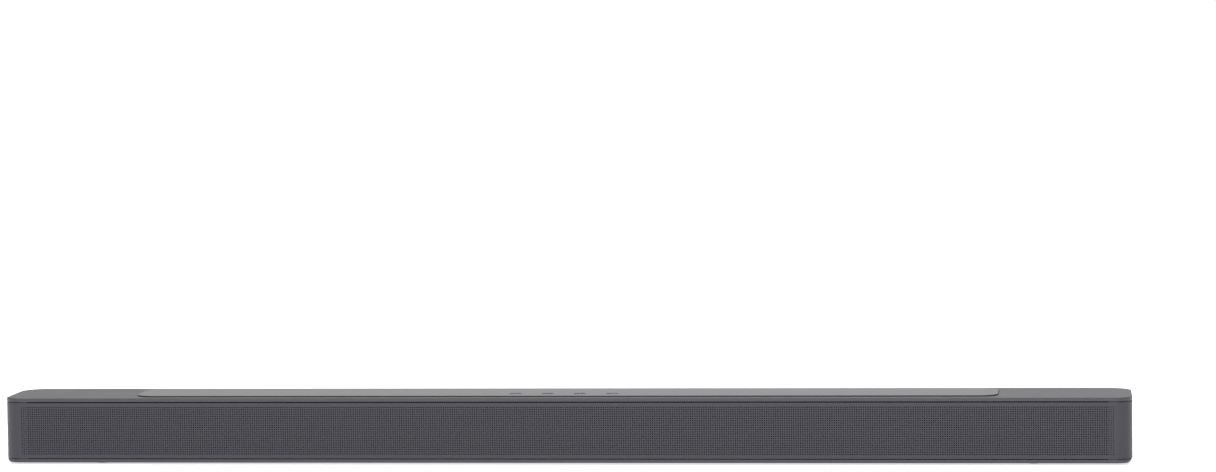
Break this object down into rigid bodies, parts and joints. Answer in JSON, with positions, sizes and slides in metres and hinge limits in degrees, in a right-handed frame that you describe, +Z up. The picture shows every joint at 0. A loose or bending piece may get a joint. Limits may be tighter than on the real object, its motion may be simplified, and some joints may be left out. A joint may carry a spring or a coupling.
{
  "type": "soundbar",
  "caption": "Slim bar loudspeaker: moulded tray and lid, wrapped perforated steel front, top buttons, racetrack woofers, dome tweeters, rear socket bays.",
  "frame": {"origin": "middle of the bar's plan, on the surface its feet stand on", "axes": "+X along the bar to the right as seen from the front, -Y out of the front grille, +Z up"},
  "size_m": [0.965, 0.085, 0.058],
  "materials": {
    "casing": "fine moulded texture, semi-matt dark grey",
    "control_plate": "smooth satin dark grey",
    "grille": "satin dark grey powder coat on perforated sheet steel",
    "cloth": "open acoustic weave, black",
    "dark_plastic": "moulded black",
    "button": "matt dark grey with pale symbols",
    "rubber": "matt black",
    "zinc_steel": "zinc plated",
    "brass": "turned",
    "circuit_board": "green solder mask",
    "lens": "polished smoked window",
    "pressed_steel": "black painted pressing",
    "magnet": "bare ferrite and plated steel",
    "surround_rubber": "soft matt roll",
    "cone_paper": "pulp, dyed black",
    "copper": "enamelled copper wire on a former",
    "dome_silk": "coated silk",
    "heat_sink": "extruded, bare",
    "lead": "sleeved wires"
  },
  "bodies": {
    "chassis": {"lower_housing": "casing", "top_cover": "casing", "control_plate": "control_plate", "front_grille": "grille", "grille_cloth": "cloth", "front_baffle": "dark_plastic", "button_frame": "dark_plastic", "optical_socket": "dark_plastic", "connector_plate": "dark_plastic", "ac_inlet": "dark_plastic", "foot_front_left": "rubber", "foot_front_right": "rubber", "foot_rear_left": "rubber", "foot_rear_right": "rubber", "case_screw_1": "zinc_steel", "case_screw_2": "zinc_steel", "case_screw_3": "zinc_steel", "case_screw_4": "zinc_steel", "case_screw_5": "zinc_steel", "case_screw_6": "zinc_steel", "bracket_insert_left": "brass", "bracket_insert_right": "brass", "control_board": "circuit_board", "display_board": "circuit_board", "main_board": "circuit_board", "power_board": "circuit_board", "display_lens": "lens", "woofer_basket_left": "pressed_steel", "woofer_magnet_left": "magnet", "tweeter_magnet_left": "magnet", "woofer_surround_left": "surround_rubber", "tweeter_faceplate_left": "dark_plastic", "woofer_basket_right": "pressed_steel", "woofer_magnet_right": "magnet", "tweeter_magnet_right": "magnet", "woofer_surround_right": "surround_rubber", "tweeter_faceplate_right": "dark_plastic", "heat_sink": "heat_sink", "transformer": "magnet", "speaker_harness": "lead", "hdmi_in_socket": "zinc_steel", "hdmi_out_socket": "zinc_steel", "usb_socket": "zinc_steel"},
    "button_power_moving": {"button_power": "button", "switch_plunger_power": "dark_plastic"},
    "button_volume_down_moving": {"button_volume_down": "button", "switch_plunger_volume_down": "dark_plastic"},
    "button_volume_up_moving": {"button_volume_up": "button", "switch_plunger_volume_up": "dark_plastic"},
    "button_source_moving": {"button_source": "button", "switch_plunger_source": "dark_plastic"},
    "woofer_left_moving": {"woofer_cone_left": "cone_paper", "woofer_dust_cap_left": "cone_paper", "woofer_voice_coil_left": "copper"},
    "woofer_right_moving": {"woofer_cone_right": "cone_paper", "woofer_dust_cap_right": "cone_paper", "woofer_voice_coil_right": "copper"},
    "tweeter_left_moving": {"tweeter_dome_left": "dome_silk"},
    "tweeter_right_moving": {"tweeter_dome_right": "dome_silk"},
    "optical_flap": {"optical_shutter": "dark_plastic"}
  },
  "joints": [
    {"name": "press_power", "type": "slide", "parent": "chassis", "child": "button_power_moving", "axis": [0, 0, -1], "range_m": [0, 0.0005], "stiffness_N_per_m": 1200, "springref_m": -0.0005},
    {"name": "press_volume_down", "type": "slide", "parent": "chassis", "child": "button_volume_down_moving", "axis": [0, 0, -1], "range_m": [0, 0.0005], "stiffness_N_per_m": 1200, "springref_m": -0.0005},
    {"name": "press_volume_up", "type": "slide", "parent": "chassis", "child": "button_volume_up_moving", "axis": [0, 0, -1], "range_m": [0, 0.0005], "stiffness_N_per_m": 1200, "springref_m": -0.0005},
    {"name": "press_source", "type": "slide", "parent": "chassis", "child": "button_source_moving", "axis": [0, 0, -1], "range_m": [0, 0.0005], "stiffness_N_per_m": 1200, "springref_m": -0.0005},
    {"name": "woofer_stroke_left", "type": "slide", "parent": "chassis", "child": "woofer_left_moving", "axis": [0, -1, 0], "range_m": [-0.0015, 0.0015], "stiffness_N_per_m": 1000},
    {"name": "woofer_stroke_right", "type": "slide", "parent": "chassis", "child": "woofer_right_moving", "axis": [0, -1, 0], "range_m": [-0.0015, 0.0015], "stiffness_N_per_m": 1000},
    {"name": "tweeter_stroke_left", "type": "slide", "parent": "chassis", "child": "tweeter_left_moving", "axis": [0, -1, 0], "range_m": [-0.0003, 0.0003], "stiffness_N_per_m": 1000},
    {"name": "tweeter_stroke_right", "type": "slide", "parent": "chassis", "child": "tweeter_right_moving", "axis": [0, -1, 0], "range_m": [-0.0003, 0.0003], "stiffness_N_per_m": 1000},
    {"name": "optical_flap_swing", "type": "hinge", "parent": "chassis", "child": "optical_flap", "pos_m": [0.008, 0.02065, 0.02295], "axis": [-1, 0, 0], "range_deg": [0, 85], "stiffness_Nm_per_rad": 0.002, "springref_deg": -11.46}
  ]
}
